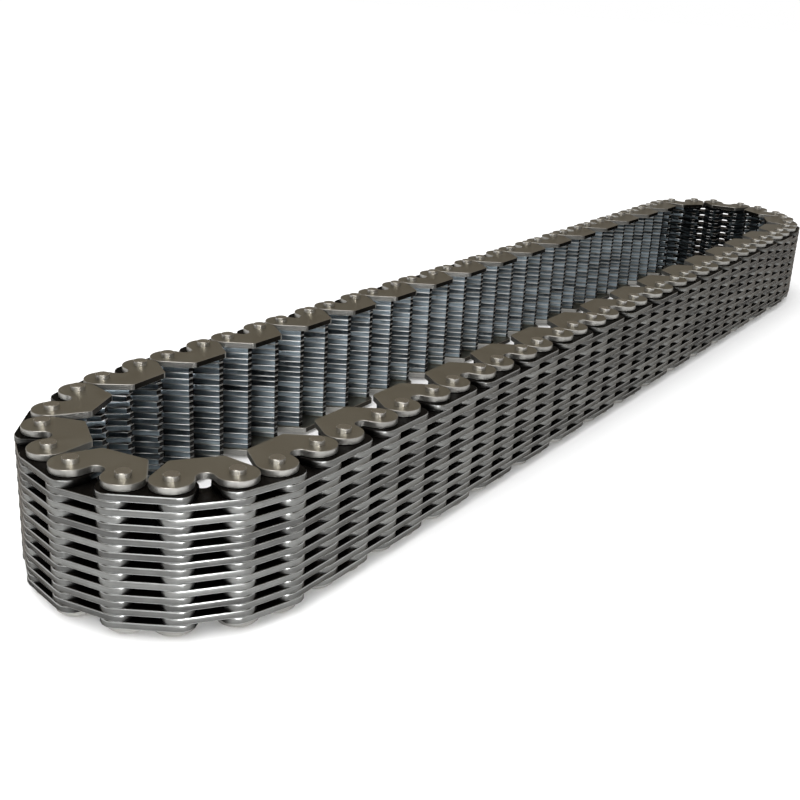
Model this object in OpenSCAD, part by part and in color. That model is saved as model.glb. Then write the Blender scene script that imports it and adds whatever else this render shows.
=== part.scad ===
// Endless silent chain of the rocker-pin kind, lying on its side as a closed oval loop.
// The pins stand upright along Z. The loop is long along X, and its teeth point inwards.

/* [Loop] */
// Pitch: distance from hinge line to hinge line
pitch = 11.1125; // [10.8:0.0125:11.4]
// Hinges that share the half turn at each end of the loop
end_hinges = 11; // [9:2:13]
// Skew of each half turn: at 1 it is even, above 1 it grows towards the strand that it leads into
end_skew = 1.8; // [1:0.1:2]
// Rigid runs of links between the hinges that are left free
sections = 20; // [16:2:20]

/* [Link plates] */
// Thickness of one stamped plate
plate_t = 1.5; // [1.3:0.05:1.7]
// Free space between two layers of the pack
layer_gap = 0.05; // [0.03:0.01:0.1]
// Layers in the pack, guide plates included
layers = 21; // [11:2:25]
// Gap between two plates that follow each other in one layer
plate_gap = 2.5; // [2:0.1:2.8]
// Distance from the hinge line out to the back edge
back_h = 5.8; // [5:0.1:6.4]
// Rounding of the two back corners
back_r = 3.5; // [2.5:0.1:4.2]
// Distance from the hinge line in to the toe tips
toe_h = 7.2; // [6.4:0.1:7.8]
// Width of a flat toe tip; the toes of two neighbouring links share the hinge line as their middle
tip_w = 1.5; // [1.1:0.1:1.9]
// Distance from the hinge line in to the shoulder where the outer tooth flank starts
shoulder_h = 1; // [0.6:0.1:1.4]
// Width of the tooth gap at its round root
root_w = 3.2; // [2.8:0.1:3.6]
// Distance from the hinge line to the root of the tooth gap
root_h = 1; // [0.8:0.1:1.4]

/* [Guide plates] */
// Gap between two guide plates on a straight run
guide_gap = 0.3; // [0.2:0.05:0.6]
// Distance from the hinge line in to the guide's inner edge
guide_h = 8.9; // [8.2:0.1:9.6]
// Length of the guide's straight inner edge
guide_edge = 10.2; // [9:0.1:11]
// Rounding of the guide's inner corners
guide_r = 1.2; // [0.6:0.1:1.8]
// Depth of the notch root past the hinge line
notch_h = 1.4; // [0.8:0.1:2]

/* [Pins and rockers] */
// Diameter of the round pin ends
pin_d = 3.4; // [3.1:0.1:3.7]
// Pin axis and rocker axis each stand this far from the hinge line
pin_off = 0.93; // [0.75:0.01:1]
// Height of a pin end above its guide plate
pin_stand = 1.1; // [0.8:0.1:1.6]
// Edge break on the pin ends
pin_edge = 0.25; // [0.1:0.05:0.4]
// Radius of the rolling face of a pin or rocker
roll_r = 2.05; // [1.8:0.05:2.3]
// Free space between the two rolling faces
roll_gap = 0.2; // [0.16:0.02:0.3]
// Largest bend of one hinge
max_bend = 34; // [33:1:38]
// Clearance of a pin in its seat
seat_gap = 0.02; // [0.01:0.01:0.04]
// Clearance of a swinging pin or rocker in a plate
swing_gap = 0.14; // [0.1:0.02:0.24]
// Clearance between a rocker's end and the guide plate over it
rocker_gap = 0.1; // [0.05:0.05:0.3]

/* [Hidden] */
$fn = 48;
// Each section is two guided links and two inner links, in turn
section_links = 4;
links = sections * section_links;
half_links = links / 2;

// Straight flanks end this far inside the rounds that they run into
sink = 0.004;
// A cut-out runs this far past the edge that it opens
over = 1;
half_pitch = pitch / 2;
half_len = pitch - plate_gap / 2;
pin_r = pin_d / 2;
// Pin axes of a guided link stand outside its hinge lines
pin_x = half_pitch + pin_off;
guide_end_r = (pitch - 2 * pin_off - guide_gap) / 2;
notch_r = pin_x - guide_end_r;

// A pin of the next link swings about the hinge line inside the plate
swing_x = pin_off * (1 + cos(max_bend)) / 2;
swing_r = pin_r + norm([swing_x - pin_off * cos(max_bend), pin_off * sin(max_bend)]) + swing_gap;

base_z = pin_stand;
layer_h = plate_t + layer_gap;
chain_h = (layers - 1) * layer_h + plate_t;
rocker_z = base_z + plate_t + rocker_gap;
rocker_h = chain_h - 2 * (plate_t + rocker_gap);

plate_colour = [0.40, 0.40, 0.40];
guide_colour = [0.41, 0.38, 0.34];
pin_colour = [0.75, 0.75, 0.77];

// Sum of a list
function sum(v, i = 0) = i < len(v) ? v[i] + sum(v, i + 1) : 0;

// Shares of the half turn that the hinges of an end take, going round the loop against the clock
end_shares = [for (k = [1 : end_hinges]) sqrt(sin(180 * pow(k / (end_hinges + 1), end_skew)))];

// Turn from the far strand to link i; the second half of the loop repeats the first
function turn(i) = i < half_links
    ? 180 * sum([for (k = [0 : min(i, end_hinges - 1)]) end_shares[k]]) / sum(end_shares)
    : 180 + turn(i - half_links);

function heading(i) = 180 + turn(i);
function step(i) = pitch * [cos(heading(i)), sin(heading(i))];

// Hinge lines in plan, one at the start of each link; the first lies opposite the middle one
half_steps = [for (i = [0 : half_links - 1]) step(i)];
start = -[sum([for (v = half_steps) v.x]), sum([for (v = half_steps) v.y])] / 2;
hinges = [for (i = 0, at = start; i < links; at = at + step(i), i = i + 1) at];

// Outer tangent of two circles, on the right of the way from a to b: a point just inside each
function tangent(a, ra, b, rb) =
    let (way = b - a, side = atan2(way.y, way.x) - acos((ra - rb) / norm(way)),
         out = [cos(side), sin(side)])
    [a + (ra - sink) * out, b + max(rb - sink, 0) * out];

// Points of the right half, in reverse and on the left
function mirrored(v) = [for (k = [len(v) - 1 : -1 : 0]) [-v[k].x, v[k].y]];

function two_digits(n) = n < 10 ? str("0", n) : str(n);
function node_name(kind, s) = str(kind, "_", two_digits(s + 1));

KINDS = ["guide_plates", "link_plates", "pins"];

// Children stand in the frame of link i: X along it, Y into the loop, origin midway
module at_link(i) {
    mid = hinges[i] + step(i) / 2;
    translate([mid.x, mid.y, 0]) rotate(heading(i)) children();
}

// A shape and its mirror image across the middle of the link
module both_ends() {
    children();
    mirror([1, 0, 0]) children();
}

// Plate without its openings: straight back, round back corners, outer tooth flanks and flat toe tips
module link_blank() {
    corner = [half_len - back_r, back_r - back_h];
    end_x = half_len - sink;
    tip = [half_pitch + tip_w / 2, toe_h];
    right = [[corner.x, -back_h], corner, [end_x, corner.y], [end_x, shoulder_h], tip];
    both_ends() translate(corner) rotate(180) circle(back_r);
    polygon([each right, each mirrored(right)]);
}

// Tooth gap between the two toes, with flanks that run into its round root
module crotch() {
    root = [0, root_h + root_w / 2];
    flank = tangent(root, root_w / 2, [half_pitch - tip_w / 2, toe_h], 0);
    right = [flank[0], flank[1], flank[1] + [0, over]];
    translate(root) circle(d = root_w);
    polygon([each right, each mirrored(right)]);
}

// Seat of the link's own pin and swing room for the next link's pin, as one opening
module aperture() {
    translate([pin_x, 0]) rotate(180) circle(pin_r + seat_gap);
    translate([half_pitch - swing_x, 0]) circle(swing_r);
}

// One inner link plate, seen along the pins
module link_outline() {
    difference() {
        link_blank();
        crotch();
        both_ends() aperture();
    }
}

// One guide plate: round ends about the pins, a notch in the back and a straight inner edge
module guide_outline() {
    corner = [guide_edge / 2, guide_h - guide_r];
    flank = tangent([pin_x, 0], guide_end_r, corner, guide_r);
    notch_y = notch_h - notch_r;
    difference() {
        both_ends() {
            translate([pin_x, 0]) rotate(180) circle(guide_end_r);
            translate(corner) rotate(180) circle(guide_r);
            polygon([[0, notch_y], [pin_x, notch_y], flank[0], flank[1], corner + [0, guide_r], [0, guide_h]]);
        }
        translate([0, notch_y]) circle(notch_r);
        both_ends() translate([pin_x, 0]) circle(pin_r + seat_gap);
    }
}

// Body of a pin or rocker: round back in its seat, rolling face towards the hinge line
module rolling_body(h) {
    intersection() {
        translate([pin_off, 0, 0]) cylinder(h = h, r = pin_r);
        translate([roll_gap / 2 + roll_r, 0, 0]) cylinder(h = h, r = roll_r);
    }
}

// Round pin end with a broken edge, standing on z = 0
module pin_end(h) {
    translate([pin_off, 0, 0]) {
        cylinder(h = h - pin_edge, r = pin_r);
        translate([0, 0, h - pin_edge]) cylinder(h = pin_edge, r1 = pin_r, r2 = pin_r - pin_edge);
    }
}

// Long pin of a guided link: shaped along the pack, round where the guide plates grip it
module long_pin() {
    grip = plate_t + pin_stand;
    translate([0, 0, base_z + plate_t]) rolling_body(chain_h - 2 * plate_t);
    translate([0, 0, base_z + chain_h - plate_t]) pin_end(grip);
    translate([0, 0, grip]) mirror([0, 0, 1]) pin_end(grip);
}

// Short rocker of an inner link, held in by the guide plates above and below it
module rocker() {
    translate([0, 0, rocker_z]) rolling_body(rocker_h);
}

// Plates of one link in every second layer, from the given layer up
module plate_stack(first, last) {
    for (n = [first : 2 : last])
        translate([0, 0, base_z + n * layer_h]) linear_extrude(plate_t) link_outline();
}

// Top and bottom guide plates of the guided links of section s
module guide_plates(s) {
    color(guide_colour) for (i = [0 : 2 : section_links - 1]) at_link(s * section_links + i)
        for (z = [0, chain_h - plate_t])
            translate([0, 0, base_z + z]) linear_extrude(plate_t) guide_outline();
}

// Inner plates of section s: the guided links fill the even layers, the inner links the odd ones
module link_plates(s) {
    color(plate_colour) for (i = [0 : section_links - 1]) at_link(s * section_links + i)
        if (i % 2 == 0) plate_stack(2, layers - 3);
        else plate_stack(1, layers - 2);
}

// Long pins and rockers of section s, at both ends of each of its links
module pins(s) {
    color(pin_colour) for (i = [0 : section_links - 1]) at_link(s * section_links + i)
        both_ends() translate([half_pitch, 0, 0])
            if (i % 2 == 0) long_pin();
            else rocker();
}

for (s = [0 : sections - 1]) {
    guide_plates(s);
    link_plates(s);
    pins(s);
}
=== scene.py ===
import math
import bpy
from mathutils import Matrix, Vector


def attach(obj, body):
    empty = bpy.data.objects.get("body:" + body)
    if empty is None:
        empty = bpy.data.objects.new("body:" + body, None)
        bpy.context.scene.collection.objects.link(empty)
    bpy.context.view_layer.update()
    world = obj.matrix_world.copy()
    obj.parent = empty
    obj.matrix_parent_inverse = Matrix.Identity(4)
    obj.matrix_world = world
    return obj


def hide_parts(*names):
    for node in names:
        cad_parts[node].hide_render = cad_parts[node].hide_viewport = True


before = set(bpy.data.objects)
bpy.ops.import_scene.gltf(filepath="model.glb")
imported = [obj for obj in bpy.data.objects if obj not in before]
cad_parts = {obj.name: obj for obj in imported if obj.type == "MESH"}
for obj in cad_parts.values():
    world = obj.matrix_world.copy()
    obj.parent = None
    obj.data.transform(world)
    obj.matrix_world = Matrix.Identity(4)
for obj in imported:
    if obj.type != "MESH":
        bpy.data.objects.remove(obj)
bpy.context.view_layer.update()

# The loop of links.
# A silent chain is flexible, so its shape is its line of hinges: two straight strands and two half
# turns, which are tighter towards the strand that they lead into. Sizes are in millimetres.
MM = 0.001
PITCH = 11.1125
LINKS = 80
SECTION_LINKS = 4
END_HINGES = 11
END_SKEW = 1.8
HALF = LINKS // 2
end_shares = [math.sin(math.pi * (k / (END_HINGES + 1)) ** END_SKEW) ** 0.5
              for k in range(1, END_HINGES + 1)]


def heading(i):
    """Direction of link i in radians, going round the loop against the clock."""
    passed = sum(end_shares[:min(i % HALF, END_HINGES - 1) + 1])
    return math.pi * (1 + i // HALF + passed / sum(end_shares))


def step(i):
    """Way from the first to the second hinge line of link i."""
    return PITCH * Vector((math.cos(heading(i)), math.sin(heading(i))))


hinges = [-sum((step(i) for i in range(HALF)), Vector((0, 0))) / 2]
for i in range(LINKS - 1):
    hinges.append(hinges[i] + step(i))
middles = [hinges[i] + step(i) / 2 for i in range(LINKS)]
sections = range(LINKS // SECTION_LINKS)


# Inner link plates.
# Each is stamped from carburised steel strip about 1.5 mm thick, with a straight back, two toes and two
# openings for the pins, then tumbled until its edges are slightly rolled. They are laced one by one.
PLATE_T = 1.5
LAYER_GAP = 0.05
LAYER_H = PLATE_T + LAYER_GAP
LAYERS = 21
PIN_STAND = 1.1
PACK_H = (LAYERS - 1) * LAYER_H + PLATE_T
PLATE_EDGE = 0.13, 0.2
PLATE_GAP = 2.5
HALF_LEN = PITCH - PLATE_GAP / 2
BACK_H = 5.8
BACK_R = 3.5
TOE_H = 7.2
TIP_W = 1.5
SHOULDER_H = 1.0
# Points of the rounded shoulder: how far in from the plate's end, and how far past the shoulder line
SHOULDER_ROUND = (0.0, -0.5), (0.09, 0.0), (0.3, 0.52)
ROOT_H = 1.0
ROOT_R = 1.6
ROOT_Y = ROOT_H + ROOT_R
PIN_R = 1.7
PIN_OFF = 0.93
SEAT_GAP = 0.02
SEAT_X = PITCH / 2 + PIN_OFF
SEAT_R = PIN_R + SEAT_GAP
MAX_BEND = math.radians(34)
SWING_GAP = 0.14
SWING = PIN_OFF * (1 + math.cos(MAX_BEND)) / 2
SWING_X = PITCH / 2 - SWING
SWING_REACH = math.hypot(SWING - PIN_OFF * math.cos(MAX_BEND), PIN_OFF * math.sin(MAX_BEND))
SWING_R = PIN_R + SWING_REACH + SWING_GAP
# Where the painted shade at the plate ends begins and where the toes begin, measured in from the hinge
# lines, and how softly
SHADE_FROM = -4.8
TOE_FROM = 1.0
MARK_FADE = 1.5
# Points closer than this are one point, and a bevel's mitre is cut off at this cosine
SAME = 1e-6
MITRE = 0.5


def arc(centre, radius, start, end, pieces):
    """Points along an arc, angles in degrees, both ends included."""
    turns = [math.radians(start + (end - start) * k / pieces) for k in range(pieces + 1)]
    return [(centre[0] + radius * math.cos(t), centre[1] + radius * math.sin(t)) for t in turns]


def snapped(p):
    """A point's place in the plate as a key, free of rounding noise."""
    return round(p[0], 5), round(p[1], 5)


def stamped(name, outline, hole, faces, edge, gap_y, toe_y):
    """A symmetric plate from the right half of its outline, one opening and the faces between them.

    The outer edge gets a bevel all round, by its width and its height; a steep one makes the walls look
    rolled. Faces carry three marks for the finish: cut, on the sheared walls, one on the bevels, whose
    brighter colour is partly real wear and partly a painted highlight, and tip, on the innermost walls,
    which get painted shade. Points carry two more: one from the first of the two depths inwards, where
    the ends face each other and shade is painted, and toe, from toe_y inwards.
    """
    wide, deep = edge
    mirrored = [(-x, y) for x, y in reversed(outline) if abs(x) > SAME]
    rim = outline + mirrored
    count = len(rim)
    tip_y = max(y for x, y in rim) - SAME
    bevel = []
    for k in range(count):
        a, b, c = Vector(rim[k - 1]), Vector(rim[k]), Vector(rim[(k + 1) % count])
        u, v = (b - a).normalized(), (c - b).normalized()
        n = (Vector((-u.y, u.x)) + Vector((-v.y, v.x))).normalized()
        bevel.append(b + n * wide / max(MITRE, n.dot(Vector((-u.y, u.x)))))
    points, key = [], {}

    def at(p, z, ring):
        spot = snapped(p), ring
        if spot not in key:
            key[spot] = len(points)
            points.append((p[0], p[1], z))
        return key[spot]

    inset = {snapped(p): b for p, b in zip(rim, bevel)}

    def level(p, z, ring):
        return at(inset.get(snapped(p), p), z, ring)

    polys = []
    marks = {"cut": [], "wear_and_highlight": [], "tip": []}

    def face(corners, *labels):
        polys.append(corners)
        for label, values in marks.items():
            values.append(float(label in labels))

    for half in faces:
        for side in (1, -1):
            flat = [(side * x, y) for x, y in half][::side]
            face([level(p, PLATE_T, "top") for p in flat])
            face([level(p, 0, "low") for p in reversed(flat)])
    for k in range(count):
        p, q = rim[k], rim[(k + 1) % count]
        low = at(p, deep, "wall_low"), at(q, deep, "wall_low")
        high = at(p, PLATE_T - deep, "wall_high"), at(q, PLATE_T - deep, "wall_high")
        face([low[0], low[1], high[1], high[0]], "tip" if min(p[1], q[1]) > tip_y else "cut")
        # Bevels, brighter: partly real wear and partly a painted highlight
        face([level(p, 0, "low"), level(q, 0, "low"), low[1], low[0]], "wear_and_highlight")
        face([high[0], high[1], level(q, PLATE_T, "top"), level(p, PLATE_T, "top")], "wear_and_highlight")
    for side in (1, -1):
        loop = [(side * x, y) for x, y in hole][::side]
        for k in range(len(loop)):
            p, q = loop[k], loop[(k + 1) % len(loop)]
            face([at(q, 0, "low"), at(p, 0, "low"), at(p, PLATE_T, "top"), at(q, PLATE_T, "top")], "cut")
    mesh = bpy.data.meshes.new(name)
    mesh.from_pydata([(x * MM, y * MM, z * MM) for x, y, z in points], [], polys)
    for label, values in marks.items():
        mesh.attributes.new(label, "FLOAT", "FACE").data.foreach_set("value", values)
    for label, start in (("gap", gap_y), ("toe", toe_y)):
        values = [min(1.0, max(0.0, (y - start) / MARK_FADE)) for x, y, z in points]
        mesh.attributes.new(label, "FLOAT", "POINT").data.foreach_set("value", values)
    return bpy.data.objects.new(name, mesh)


# Right half of the outline, from the middle of the back round to the root of the tooth gap
corner = (HALF_LEN - BACK_R, BACK_R - BACK_H)
end_point = (HALF_LEN, 0.0)
back_half = [(0.0, -BACK_H)] + arc(corner, BACK_R, -90, 0, 4) + [end_point]
tip_out, tip_in = (PITCH / 2 + TIP_W / 2, TOE_H), (PITCH / 2 - TIP_W / 2, TOE_H)
shoulder = [(HALF_LEN - inwards, SHOULDER_H + past) for inwards, past in SHOULDER_ROUND]
to_tip = Vector(tip_in) - Vector((0, ROOT_Y))
flank = math.degrees(math.atan2(to_tip.y, to_tip.x) - math.acos(ROOT_R / to_tip.length))
root = arc((0, ROOT_Y), ROOT_R, flank, -90, 3)
toe_half = [end_point] + shoulder + [tip_out, tip_in] + root[:-1] + [(0.0, ROOT_Y - ROOT_R)]
# The opening: the seat of the link's own pin joined with the room in which the next link's pin swings
apart = SEAT_X - SWING_X
meet = math.degrees(math.acos((apart ** 2 + SEAT_R ** 2 - SWING_R ** 2) / (2 * apart * SEAT_R)))
room = math.degrees(math.acos((apart ** 2 + SWING_R ** 2 - SEAT_R ** 2) / (2 * apart * SWING_R)))
hole_top = arc((SEAT_X, 0), SEAT_R, 0, 180 - meet, 3) + arc((SWING_X, 0), SWING_R, room, 180, 3)[1:]
hole_low = [(x, -y) for x, y in reversed(hole_top)]
hole = hole_top + hole_low[1:-1]
link_plate = stamped(
    "link_plate", back_half[:-1] + toe_half, hole,
    [back_half + hole_low[::-1] + [(0.0, 0.0)], toe_half + [(0.0, 0.0)] + hole_top[::-1]],
    PLATE_EDGE, SHADE_FROM, TOE_FROM)


# Steel that the chain is made of, sizes in millimetres: clouds from the tumbling, its grain, which is
# really about 0.05 wide and is drawn coarser so that it shows, and shear lines per millimetre of a cut
# wall, across it and up it
CLOUD = 5.0
GRAIN = 0.25
GRAIN_DEPTH = 0.03
SHEAR_LINES = 3.3, 3.3, 0.22
TONE_SPAN = 0.2, 0.8


def linear(code):
    """A hex colour as the linear values that the shader takes."""
    values = [int(code[k:k + 2], 16) / 255 for k in (1, 3, 5)]
    return tuple(v / 12.92 if v <= 0.04045 else ((v + 0.055) / 1.055) ** 2.4 for v in values) + (1.0,)


def add(tree, kind, sockets=None, **settings):
    """Add one node: settings are its properties, sockets its inputs, as values or as links."""
    made = tree.nodes.new(kind)
    for name, value in settings.items():
        setattr(made, name, value)
    for name, value in (sockets or {}).items():
        if isinstance(value, bpy.types.NodeSocket):
            tree.links.new(value, made.inputs[name])
        else:
            made.inputs[name].default_value = value
    return made


def steel(name, colours, roughness, spread, coat):
    """Carburised steel, stamped and tumbled: a satin grey metal with a thin film of oil.

    The eye sees flats in their own colour, which on the link plates is near black, painted shade for
    where the plates lie stacked, a slightly different grey on each plate, soft clouds a few millimetres
    wide from the tumbling, upright shear lines on the cut walls, brighter rolled edges, partly real wear
    and partly a painted highlight, and near-black painted shade where two plate ends face each other, on
    the innermost walls and on the pins' rolling part. At grazing angles the oxide holds the shine back.
    """
    material = bpy.data.materials.new(name)
    material.use_nodes = True
    tree = material.node_tree
    tree.nodes.clear()
    place = add(tree, "ShaderNodeTexCoord").outputs["Object"]
    clouds = add(tree, "ShaderNodeTexNoise", {
        "Vector": place, "Scale": 1 / (CLOUD * MM), "Detail": 3.0, "Roughness": 0.6}).outputs["Fac"]
    grain = add(tree, "ShaderNodeTexNoise", {
        "Vector": place, "Scale": 1 / (GRAIN * MM), "Detail": 2.0, "Roughness": 0.7}).outputs["Fac"]
    upright = add(tree, "ShaderNodeMapping", {"Vector": place, "Scale": [n / MM for n in SHEAR_LINES]})
    shear = add(tree, "ShaderNodeTexNoise", {"Vector": upright.outputs[0], "Scale": 1.0, "Detail": 2.0})
    mark = {label: add(tree, "ShaderNodeAttribute", attribute_name=label).outputs["Fac"]
            for label in ("tone", "cut", "wear_and_highlight", "tip", "gap", "toe")}
    cloud_tone = add(tree, "ShaderNodeMath", {0: clouds, 1: mark["tone"]}, operation="ADD")
    half_tone = add(tree, "ShaderNodeMath", {0: cloud_tone.outputs[0], 1: 0.5}, operation="MULTIPLY")
    raised = add(tree, "ShaderNodeMath", {0: mark["cut"], 1: mark["wear_and_highlight"]}, operation="MAXIMUM")
    colour = {part: linear(colours[part]) for part in ("flat", "wear_and_highlight", "gap")}
    # Walls and toes lie between two greys, by plate and by cloud
    for part in ("wall", "toe"):
        ramp = add(tree, "ShaderNodeValToRGB", {"Fac": half_tone.outputs[0]})
        for stop, position, code in zip(ramp.color_ramp.elements, TONE_SPAN, colours[part]):
            stop.position = position
            stop.color = linear(code)
        colour[part] = ramp.outputs["Color"]
    # Each finish lies over the one before it, as far as its mark reaches: bright edges, partly real wear
    # and partly painted highlight, on walls and toes, painted shade where plate ends face each other, the
    # toes, the flats, and last painted shade on the innermost walls
    for share, part, under, over in (
            (mark["wear_and_highlight"], "wall", "wall", "wear_and_highlight"), (mark["wear_and_highlight"], "toe", "toe", "wear_and_highlight"),
            (mark["gap"], "wall", "wall", "gap"), (mark["toe"], "wall", "wall", "toe"),
            (raised.outputs[0], "all", "flat", "wall"), (mark["tip"], "all", "all", "gap")):
        mix = add(tree, "ShaderNodeMix", {0: share, 6: colour[under], 7: colour[over]}, data_type="RGBA")
        colour[part] = mix.outputs[2]
    streak = add(tree, "ShaderNodeMath", {0: shear.outputs["Fac"], 1: mark["cut"]}, operation="MULTIPLY")
    uneven = add(tree, "ShaderNodeMath", {0: clouds, 1: streak.outputs[0]}, operation="ADD")
    rough = add(tree, "ShaderNodeMath", {0: uneven.outputs[0], 1: spread, 2: roughness - spread / 2},
                operation="MULTIPLY_ADD")
    relief = add(tree, "ShaderNodeMath", {0: streak.outputs[0], 1: 2.0, 2: grain},
                 operation="MULTIPLY_ADD")
    bump = add(tree, "ShaderNodeBump", {
        "Height": relief.outputs[0], "Strength": 0.35, "Distance": GRAIN_DEPTH * MM})
    shader = add(tree, "ShaderNodeBsdfPrincipled", {
        "Base Color": colour["all"], "Metallic": 1.0, "Roughness": rough.outputs[0],
        "Normal": bump.outputs[0], "Specular Tint": linear(colours["grazing"]),
        "Coat Weight": coat, "Coat Roughness": 0.25})
    add(tree, "ShaderNodeOutputMaterial", {"Surface": shader.outputs[0]})
    return material


# On the link plates the flats are near black, painted shade for where the plates lie stacked, and the
# shade colour is painted shade on the facing plate ends and toe tips; the bright edge colour is partly
# real wear and partly a painted highlight.
plate_steel = steel("stamped and tumbled carburised steel", {
    "flat": "#34312E", "wall": ("#4D4D4C", "#7E7F7D"), "wear_and_highlight": "#A8AAAA", "gap": "#161514",
    "toe": ("#232A2F", "#98A6AF"), "grazing": "#6B5A45"}, roughness=0.32, spread=0.16, coat=0.15)

# One node tree laces every piece onto its links: layers of it stand over each link point, turned along
# the link, and each copy gets its own tone. It ends as real mesh with its finish. Walls that meet at less
# than SHARP are shaded as one; where no layer is too high, the pack's top is set to NO_TOP.
SHARP = math.radians(38)
NO_TOP = 1000.0
PLATE_SEED = 7
lace = bpy.data.node_groups.new("Lace pieces on links", "GeometryNodeTree")
lace.interface.new_socket("Links", in_out="INPUT", socket_type="NodeSocketGeometry")
for label, kind in (("Piece", "Object"), ("Layers", "Int"), ("Layer step", "Float"),
                    ("Pack top", "Float"), ("Seed", "Int"), ("Finish", "Material")):
    lace.interface.new_socket(label, in_out="INPUT", socket_type="NodeSocket" + kind)
lace.interface.new_socket("Laced", in_out="OUTPUT", socket_type="NodeSocketGeometry")
entry = add(lace, "NodeGroupInput").outputs
rise = add(lace, "ShaderNodeCombineXYZ", {"Z": entry["Layer step"]})
column = add(lace, "GeometryNodeMeshLine", {"Count": entry["Layers"], "Offset": rise.outputs[0]})
columns = add(lace, "GeometryNodeInstanceOnPoints", {
    "Points": entry["Links"], "Instance": column.outputs[0]})
spots = add(lace, "GeometryNodeRealizeInstances", {"Geometry": columns.outputs[0]})
along = add(lace, "GeometryNodeInputNamedAttribute", {"Name": "heading"}, data_type="FLOAT")
turned = add(lace, "ShaderNodeCombineXYZ", {"Z": along.outputs[0]})
facing = add(lace, "FunctionNodeEulerToRotation", {0: turned.outputs[0]})
spot = add(lace, "GeometryNodeInputPosition")
up = add(lace, "ShaderNodeSeparateXYZ", {0: spot.outputs[0]})
below = add(lace, "FunctionNodeCompare", {0: up.outputs["Z"], 1: entry["Pack top"]},
            operation="LESS_THAN")
piece = add(lace, "GeometryNodeObjectInfo", {"Object": entry["Piece"]})
copies = add(lace, "GeometryNodeInstanceOnPoints", {
    "Points": spots.outputs[0], "Selection": below.outputs[0], "Instance": piece.outputs["Geometry"],
    "Rotation": facing.outputs[0]})
chance = add(lace, "FunctionNodeRandomValue", {"Seed": entry["Seed"]}, data_type="FLOAT")
toned = add(lace, "GeometryNodeStoreNamedAttribute", {"Geometry": copies.outputs[0], "Name": "tone"},
            data_type="FLOAT", domain="INSTANCE")
lace.links.new(chance.outputs[1], toned.inputs["Value"])
solid = add(lace, "GeometryNodeRealizeInstances", {"Geometry": toned.outputs[0]})
done = add(lace, "GeometryNodeSetMaterial", {"Geometry": solid.outputs[0], "Material": entry["Finish"]})
add(lace, "NodeGroupOutput", {"Laced": done.outputs[0]})
socket_of = {item.name: item.identifier for item in lace.interface.items_tree}


def laced(name, places, piece, layers, layer_step, pack_top, seed, finish):
    """Copies of a piece at each place (x, y, z, heading) and in the layers above it, as a plain mesh."""
    mesh = bpy.data.meshes.new(name)
    mesh.from_pydata([(x * MM, y * MM, z * MM) for x, y, z, turn in places], [], [])
    mesh.attributes.new("heading", "FLOAT", "POINT").data.foreach_set("value", [p[3] for p in places])
    made = bpy.data.objects.new(name, mesh)
    bpy.context.scene.collection.objects.link(made)
    modifier = made.modifiers.new("Lacing", "NODES")
    modifier.node_group = lace
    for label, value in (("Piece", piece), ("Layers", layers), ("Layer step", layer_step * MM),
                         ("Pack top", pack_top * MM), ("Seed", seed), ("Finish", finish)):
        modifier[socket_of[label]] = value
    graph = bpy.context.evaluated_depsgraph_get()
    plain = bpy.data.meshes.new_from_object(
        made.evaluated_get(graph), preserve_all_data_layers=True, depsgraph=graph)
    made.modifiers.clear()
    made.data = plain
    plain.name = name
    plain.shade_smooth()
    plain.set_sharp_from_angle(angle=SHARP)
    return made


def links_of(s, first, z):
    """Places of every second link of section s, from its first or second link on."""
    numbers = range(s * SECTION_LINKS + first, (s + 1) * SECTION_LINKS, 2)
    return [(middles[i].x, middles[i].y, z, heading(i)) for i in numbers]


def body(s):
    """Name of the moving body that carries section s."""
    return "section_%02d" % (s + 1)


for s in sections:
    # Guided links fill the even layers, inner links the odd ones
    places = links_of(s, 0, PIN_STAND + 2 * LAYER_H) + links_of(s, 1, PIN_STAND + LAYER_H)
    plates = laced("laced_plates_%02d" % (s + 1), places, link_plate, LAYERS // 2, 2 * LAYER_H,
                   PIN_STAND + PACK_H - PLATE_T - LAYER_H / 2, PLATE_SEED + s, plate_steel)
    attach(plates, body(s))
    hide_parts("link_plates_%02d" % (s + 1))
bpy.data.objects.remove(link_plate)


# Guide plates.
# Outer plates on both faces of every second link, pressed over the round pin ends. They are stamped from
# the same strip, with a notch in the back for bending and a straight inner edge that runs past the toes.
GUIDE_GAP = 0.3
GUIDE_END_R = (PITCH - 2 * PIN_OFF - GUIDE_GAP) / 2
GUIDE_H = 8.9
GUIDE_STRAIGHT = 10.2
GUIDE_CORNER_R = 1.2
GUIDE_CORNER = (GUIDE_STRAIGHT / 2, GUIDE_H - GUIDE_CORNER_R)
GUIDE_EDGE = 0.1, 0.1
GUIDE_SEED = 40
NOTCH_H = 1.4
NOTCH_R = SEAT_X - GUIDE_END_R
NOTCH_Y = NOTCH_H - NOTCH_R
rise_x, rise_y = SEAT_X - GUIDE_CORNER[0], GUIDE_CORNER[1]
lean = math.acos((GUIDE_END_R - GUIDE_CORNER_R) / math.hypot(rise_x, rise_y))
slope = math.degrees(math.atan2(rise_y, -rise_x) - lean)
notch = arc((0, NOTCH_Y), NOTCH_R, 90, 0, 6)
lower_end = arc((SEAT_X, 0), GUIDE_END_R, 180 - math.degrees(math.asin(NOTCH_Y / GUIDE_END_R)), 360, 14)
upper_end = arc((SEAT_X, 0), GUIDE_END_R, 0, slope, 5)
inner_edge = arc(GUIDE_CORNER, GUIDE_CORNER_R, slope, 90, 3) + [(0.0, GUIDE_H)]
guide_hole_top = arc((SEAT_X, 0), SEAT_R, 0, 180, 8)
guide_hole_low = [(x, -y) for x, y in reversed(guide_hole_top)]
guide_outline = notch + lower_end + upper_end[1:] + inner_edge
guide_plate = stamped(
    "guide_plate", guide_outline, guide_hole_top + guide_hole_low[1:-1],
    [lower_end + guide_hole_low[::-1],
     upper_end + inner_edge + notch + [lower_end[0]] + guide_hole_top[::-1]],
    GUIDE_EDGE, GUIDE_H, GUIDE_H)
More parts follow.
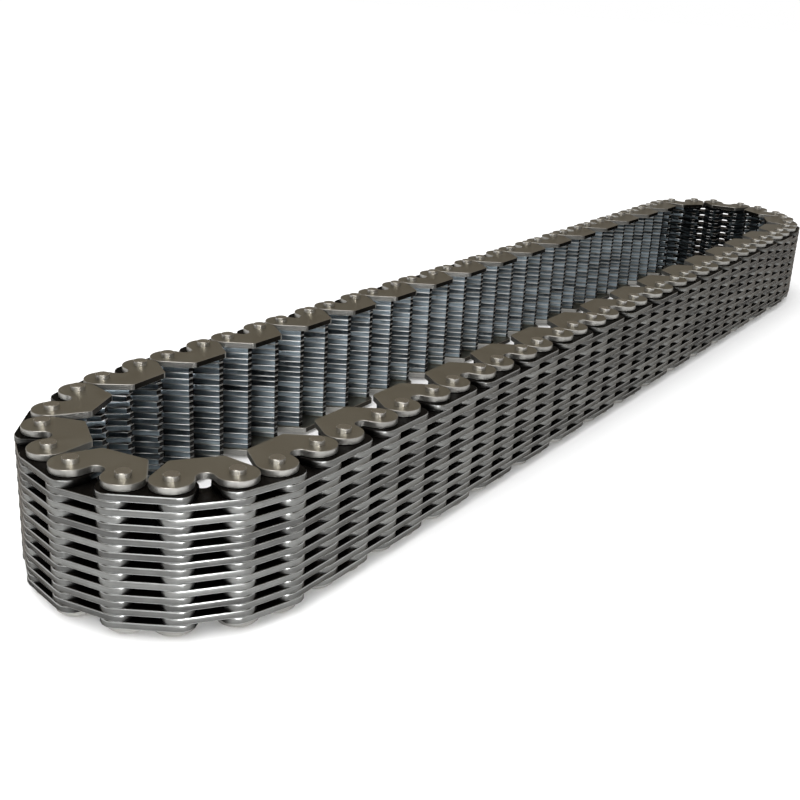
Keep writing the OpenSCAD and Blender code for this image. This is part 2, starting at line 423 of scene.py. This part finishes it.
# The guides' near-black colour is painted shade on the walls of their straight inner edge; their bright
# edge colour is partly real wear and partly a painted highlight.
guide_steel = steel("stamped and browned carburised steel", {
    "flat": "#ADAAA0", "wall": ("#878682", "#A5A4A0"), "wear_and_highlight": "#B4B2AD", "gap": "#2A2824",
    "toe": ("#878682", "#A5A4A0"), "grazing": "#A09A90"}, roughness=0.32, spread=0.14, coat=0.2)
for s in sections:
    guides = laced("guides_%02d" % (s + 1), links_of(s, 0, PIN_STAND), guide_plate, 2, PACK_H - PLATE_T,
                   NO_TOP, GUIDE_SEED + s, guide_steel)
    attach(guides, body(s))
    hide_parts("guide_plates_%02d" % (s + 1))
bpy.data.objects.remove(guide_plate)


# Pins and rockers.
# Hardened and ground steel, two in each joint with crowned faces that roll on each other. The long pin
# belongs to the guided link and ends in a round head above its guide; the short rocker ends under it.
ROLL_R = 2.05
ROLL_GAP = 0.2
ROLL_X = ROLL_GAP / 2 + ROLL_R
PIN_EDGE = 0.12
PIN_SIDES = 20
HEIGHT = PACK_H + 2 * PIN_STAND
GRIP = PLATE_T + PIN_STAND
ROCKER_GAP = 0.1
# A place inside the rolling section, from which its points are swept
LENS_X = PIN_OFF + 0.35
PIN_SEED = 80
ROCKER_SEED = 120


def ring(radius):
    """Round section of a pin."""
    return arc((PIN_OFF, 0), radius, 0, 360, PIN_SIDES)[:-1]


def lens():
    """Section of a pin or rocker along the pack: round at the back, crowned at the front."""
    points = []
    for k in range(PIN_SIDES):
        t = 2 * math.pi * k / PIN_SIDES
        reach = []
        for x, r in ((PIN_OFF, PIN_R), (ROLL_X, ROLL_R)):
            along = (x - LENS_X) * math.cos(t)
            reach.append(along + math.sqrt(along ** 2 + r ** 2 - (x - LENS_X) ** 2))
        points.append((LENS_X + min(reach) * math.cos(t), min(reach) * math.sin(t)))
    return points


rolling = lens()


def ground(name, rings):
    """A pin from its sections, bottom to top, with the marks that the finish reads: cut on its straight
    walls, and painted shade on the points of its rolling part, which lie inside the pack.
    """
    points, gap, key = [], [], {}

    def at(p, z, rolls):
        spot = snapped(p), z
        if spot not in key:
            key[spot] = len(points)
            points.append((p[0] * MM, p[1] * MM, z * MM))
            gap.append(float(rolls))
        return key[spot]

    rows = [[at(p, z, section is rolling) for p in section] for section, z in rings]
    polys = [rows[0][::-1], rows[-1]]
    cut = [0.0, 0.0]
    for n in range(len(rings) - 1):
        low, high = rows[n], rows[n + 1]
        for k in range(PIN_SIDES):
            after = (k + 1) % PIN_SIDES
            # A corner that two sections share is kept once
            polys.append(list(dict.fromkeys([low[k], low[after], high[after], high[k]])))
            cut.append(float(rings[n][0] == rings[n + 1][0]))
    mesh = bpy.data.meshes.new(name)
    mesh.from_pydata(points, [], polys)
    mesh.attributes.new("cut", "FLOAT", "FACE").data.foreach_set("value", cut)
    mesh.attributes.new("gap", "FLOAT", "POINT").data.foreach_set("value", gap)
    return bpy.data.objects.new(name, mesh)


long_pin = ground("long_pin", [
    (ring(PIN_R - PIN_EDGE), 0), (ring(PIN_R), PIN_EDGE), (ring(PIN_R), GRIP), (rolling, GRIP),
    (rolling, HEIGHT - GRIP), (ring(PIN_R), HEIGHT - GRIP), (ring(PIN_R), HEIGHT - PIN_EDGE),
    (ring(PIN_R - PIN_EDGE), HEIGHT)])
rocker = ground("rocker", [(rolling, GRIP + ROCKER_GAP), (rolling, HEIGHT - GRIP - ROCKER_GAP)])
# The pins' near-black colour is painted shade, laid on the rolling part inside the pack.
pin_steel = steel("hardened and ground steel", {
    "flat": "#BFBCB5", "wall": ("#B7B6B4", "#D0CFCC"), "wear_and_highlight": "#D0CFCC", "gap": "#1C1B19",
    "toe": ("#B7B6B4", "#D0CFCC"), "grazing": "#C8C4BC"}, roughness=0.26, spread=0.1, coat=0.2)


def pin_places(s, first):
    """Both hinges of every second link of section s, facing out of the link."""
    places = []
    for x, y, z, turn in links_of(s, first, 0.0):
        half = Vector((math.cos(turn), math.sin(turn))) * PITCH / 2
        places += [(x + half.x, y + half.y, 0.0, turn), (x - half.x, y - half.y, 0.0, turn + math.pi)]
    return places


for s in sections:
    for name, first, piece, seed in (
            ("long_pins", 0, long_pin, PIN_SEED), ("rockers", 1, rocker, ROCKER_SEED)):
        pins = laced("%s_%02d" % (name, s + 1), pin_places(s, first), piece, 1, 0.0,
                     NO_TOP, seed + s, pin_steel)
        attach(pins, body(s))
        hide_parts("pins_%02d" % (s + 1))
bpy.data.objects.remove(long_pin)
bpy.data.objects.remove(rocker)


# Table, studio and camera.
# The chain lies on its lower pin ends on a sweep of white paper, in a room that looks dim and warm. Light
# comes from a large soft box overhead, one behind the camera and a low one with a grid beside it.
TABLE = 6.0
PAPER_GLOW = 0.1
ROOM_LIGHT = 1.15
HORIZON = (0.06, "#FFFFFF"), (0.18, "#857D70")


def seen_rays(tree):
    """One for the rays that show a thing to the eye, straight or by way of a shiny or clear piece."""
    path = add(tree, "ShaderNodeLightPath").outputs
    seen = path["Is Camera Ray"]
    for other in ("Is Glossy Ray", "Is Transmission Ray"):
        seen = add(tree, "ShaderNodeMath", {0: seen, 1: path[other]}, operation="MAXIMUM").outputs[0]
    return seen


table_mesh = bpy.data.meshes.new("table")
table_mesh.from_pydata(
    [(-TABLE, -TABLE, 0), (TABLE, -TABLE, 0), (TABLE, TABLE, 0), (-TABLE, TABLE, 0)], [], [(0, 1, 2, 3)])
table = bpy.data.objects.new("table", table_mesh)
bpy.context.scene.collection.objects.link(table)
paper = bpy.data.materials.new("white paper sweep")
paper.use_nodes = True
tree = paper.node_tree
tree.nodes.clear()
share = add(tree, "ShaderNodeMath", {0: seen_rays(tree), 1: PAPER_GLOW}, operation="MULTIPLY")
matt = add(tree, "ShaderNodeBsdfDiffuse", {"Color": linear("#F4F4F4")})
glow = add(tree, "ShaderNodeEmission", {"Color": linear("#FFFFFF"), "Strength": 1.0})
both = add(tree, "ShaderNodeMixShader", {0: share.outputs[0], 1: matt.outputs[0], 2: glow.outputs[0]})
add(tree, "ShaderNodeOutputMaterial", {"Surface": both.outputs[0]})
table_mesh.materials.append(paper)

world = bpy.data.worlds.new("studio")
bpy.context.scene.world = world
world.use_nodes = True
tree = world.node_tree
tree.nodes.clear()
way = add(tree, "ShaderNodeTexCoord").outputs["Generated"]
height = add(tree, "ShaderNodeSeparateXYZ", {0: way}).outputs["Z"]
room_ramp = add(tree, "ShaderNodeValToRGB", {"Fac": height})
for stop, (position, code) in zip(room_ramp.color_ramp.elements, HORIZON):
    stop.position = position
    stop.color = linear(code)
shown = add(tree, "ShaderNodeBackground", {"Color": room_ramp.outputs["Color"], "Strength": 1.0})
light = add(tree, "ShaderNodeBackground", {"Color": linear("#FFFFFF"), "Strength": ROOM_LIGHT})
both = add(tree, "ShaderNodeMixShader", {0: seen_rays(tree), 1: light.outputs[0], 2: shown.outputs[0]})
add(tree, "ShaderNodeOutputWorld", {"Surface": both.outputs[0]})


def soft_box(name, place, aim, size, power, beam):
    """A square studio light turned towards a point, its beam in degrees."""
    lamp = bpy.data.lights.new(name, "AREA")
    lamp.size = size
    lamp.energy = power
    lamp.spread = math.radians(beam)
    made = bpy.data.objects.new(name, lamp)
    made.location = place
    made.rotation_euler = (Vector(aim) - Vector(place)).to_track_quat("-Z", "Y").to_euler()
    bpy.context.scene.collection.objects.link(made)


soft_box("overhead soft box", place=(-0.2, 0.1, 1.2), aim=(0, 0, 0),
         size=1.0, power=5.0, beam=180)
soft_box("high soft box behind the camera", place=(-0.5, -0.12, 0.36), aim=(-0.1, 0.03, 0.02),
         size=0.3, power=1.2, beam=180)
soft_box("low soft box beside the camera", place=(-0.44, -0.42, 0.1), aim=(-0.2, -0.02, 0.02),
         size=0.16, power=0.065, beam=30)

# The camera that fits the photograph: its place in metres, its focal length and frame in pixels
CAMERA_AT = -0.33856, -0.16759, 0.12506
FOCAL = 1122.3
FRAME = 800
SENSOR = 36.0
YAW, TILT, ROLL = math.radians(33.589), math.radians(20.237), math.radians(-3.106)
ahead = Vector((math.cos(TILT) * math.cos(YAW), math.cos(TILT) * math.sin(YAW), -math.sin(TILT)))
level_right = Vector((math.sin(YAW), -math.cos(YAW), 0))
level_down = ahead.cross(level_right)
right = math.cos(ROLL) * level_right + math.sin(ROLL) * level_down
down = -math.sin(ROLL) * level_right + math.cos(ROLL) * level_down
camera_data = bpy.data.cameras.new("camera")
camera_data.sensor_width = SENSOR
camera_data.lens = SENSOR * FOCAL / FRAME
camera_data.clip_start = 0.01
camera_data.clip_end = 50
camera = bpy.data.objects.new("camera", camera_data)
facing = Matrix((right, -down, -ahead)).transposed().to_4x4()
camera.matrix_world = Matrix.Translation(CAMERA_AT) @ facing
bpy.context.scene.collection.objects.link(camera)
bpy.context.scene.camera = camera
bpy.context.scene.view_settings.view_transform = "Standard"
